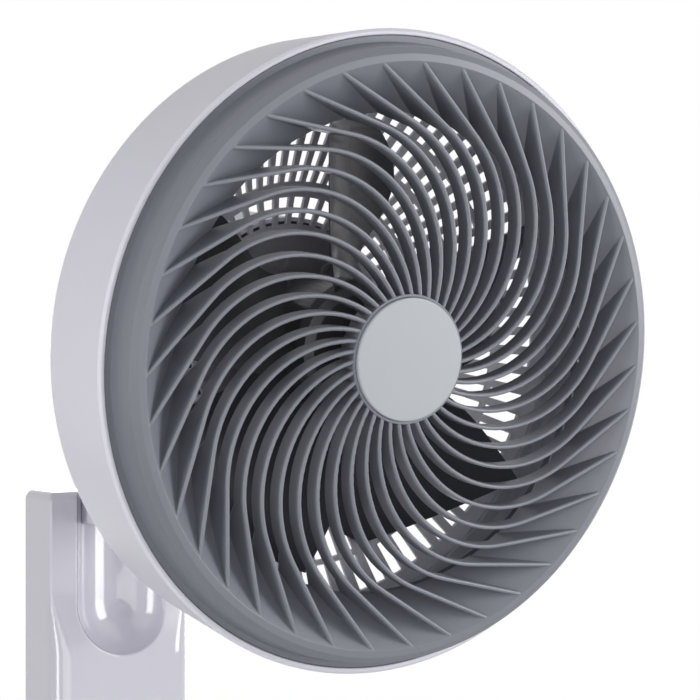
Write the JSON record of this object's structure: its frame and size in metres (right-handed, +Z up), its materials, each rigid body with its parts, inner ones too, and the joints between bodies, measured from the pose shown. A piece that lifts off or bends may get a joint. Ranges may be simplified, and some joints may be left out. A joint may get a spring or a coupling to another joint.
{
  "type": "wall fan",
  "caption": "Wall mounted air circulation fan: deep drum head with a spiral-rib grille, tilting and swinging on an arm from a slim column with push buttons.",
  "frame": {"origin": "centre of the wall bracket's four screw holes, in the wall plane", "axes": "+Y into the wall (the fan faces -Y into the room), +Z up, +X to the right of someone facing the fan from the room"},
  "size_m": [0.3322, 0.3675, 0.5504],
  "materials": {
    "white_gloss": "polished",
    "white_satin": "satin",
    "white_plastic": "satin",
    "grille_grey": "satin",
    "hub_silver": "satin",
    "plate_dark": "satin",
    "blade_grey": "satin",
    "panel_grey": "satin",
    "button_grey": "satin",
    "window_dark": "polished",
    "knuckle_grey": "satin",
    "black_plastic": "matt",
    "black_rubber": "matt",
    "lamp_clear": "clear",
    "circuit_board": "solder mask",
    "gear_plastic": "moulded",
    "friction_disc": "pressed fibre",
    "bracket_steel": "zinc plated",
    "screw_steel": "zinc plated",
    "shaft_steel": "ground",
    "motor_metal": "black",
    "lamination": "varnished stack",
    "copper": "enamelled wire",
    "cast_alloy": "as cast",
    "bush_bronze": "sintered"
  },
  "bodies": {
    "wall_unit": {"column_shell": "white_gloss", "back_plate": "white_plastic", "wall_bracket": "bracket_steel", "support_arm": "white_plastic", "arm_cover": "white_plastic", "arm_screws": "screw_steel", "tilt_pin": "screw_steel", "tilt_nut": "screw_steel", "tilt_spring_washer": "screw_steel", "friction_washers": "friction_disc", "shell_screws": "screw_steel", "control_panel": "panel_grey", "display_window": "window_dark", "control_board": "circuit_board", "board_screws": "screw_steel", "tact_switches": "black_plastic", "indicator_lamps": "lamp_clear", "power_board": "circuit_board", "power_screws": "screw_steel", "power_components": "black_plastic", "inlet_grommet": "black_rubber"},
    "tilt_neck": {"neck_knuckle": "knuckle_grey", "swing_post": "shaft_steel", "neck_gear": "gear_plastic", "post_retainer": "screw_steel", "thrust_washer": "white_plastic"},
    "fan_head": {"front_grille": "grille_grey", "hub_disc": "hub_silver", "drum_shell": "white_satin", "rear_guard": "white_plastic", "mounting_plate": "plate_dark", "drum_screws": "screw_steel", "grille_screws": "screw_steel", "motor_front_bracket": "motor_metal", "motor_rear_bracket": "motor_metal", "front_bearing": "shaft_steel", "rear_bearing": "shaft_steel", "motor_stator": "lamination", "motor_coils": "copper", "motor_screws": "screw_steel", "motor_mount_screws": "screw_steel", "cover_screws": "screw_steel", "head_chassis": "cast_alloy", "swing_bush": "bush_bronze", "swing_motor": "motor_metal", "motor_cover": "white_satin"},
    "fan_wheel": {"impeller": "blade_grey", "spinner_nut": "black_plastic", "motor_shaft": "shaft_steel", "drive_pin": "shaft_steel", "motor_rotor": "lamination"},
    "swing_drive": {"swing_pinion": "gear_plastic"},
    "power_button_body": {"power_button": "button_grey"},
    "speed_button_body": {"speed_button": "button_grey"},
    "swing_button_body": {"swing_button": "button_grey"},
    "timer_button_body": {"timer_button": "button_grey"}
  },
  "joints": [
    {"name": "head_tilt", "type": "hinge", "parent": "wall_unit", "child": "tilt_neck", "pos_m": [0, -0.15407, 0.16742], "axis": [1, 0, 0], "range_deg": [-31.5, 28.5]},
    {"name": "head_swing", "type": "hinge", "parent": "tilt_neck", "child": "fan_head", "pos_m": [0, -0.15407, 0.16742], "axis": [0, -0.1137, 0.9935], "range_deg": [-40, 40]},
    {"name": "fan_spin", "type": "hinge", "parent": "fan_head", "child": "fan_wheel", "pos_m": [0, -0.3504, 0.2295], "axis": [0, -0.9935, -0.1137], "continuous": true},
    {"name": "pinion_spin", "type": "hinge", "parent": "fan_head", "child": "swing_drive", "pos_m": [0.024, -0.15827, 0.20419], "axis": [0, -0.1137, 0.9935], "range_deg": [-97.2, 97.2]},
    {"name": "power_button_press", "type": "slide", "parent": "wall_unit", "child": "power_button_body", "axis": [0, 1, 0], "range_m": [0, 0.0008], "stiffness_N_per_m": 1200, "springref_m": -0.0002},
    {"name": "speed_button_press", "type": "slide", "parent": "wall_unit", "child": "speed_button_body", "axis": [0, 1, 0], "range_m": [0, 0.0008], "stiffness_N_per_m": 1200, "springref_m": -0.0002},
    {"name": "swing_button_press", "type": "slide", "parent": "wall_unit", "child": "swing_button_body", "axis": [0, 1, 0], "range_m": [0, 0.0008], "stiffness_N_per_m": 1200, "springref_m": -0.0002},
    {"name": "timer_button_press", "type": "slide", "parent": "wall_unit", "child": "timer_button_body", "axis": [0, 1, 0], "range_m": [0, 0.0008], "stiffness_N_per_m": 1200, "springref_m": -0.0002}
  ],
  "couplings": [
    {"joint": "pinion_spin", "follows": "head_swing", "ratio": 2.4286}
  ]
}
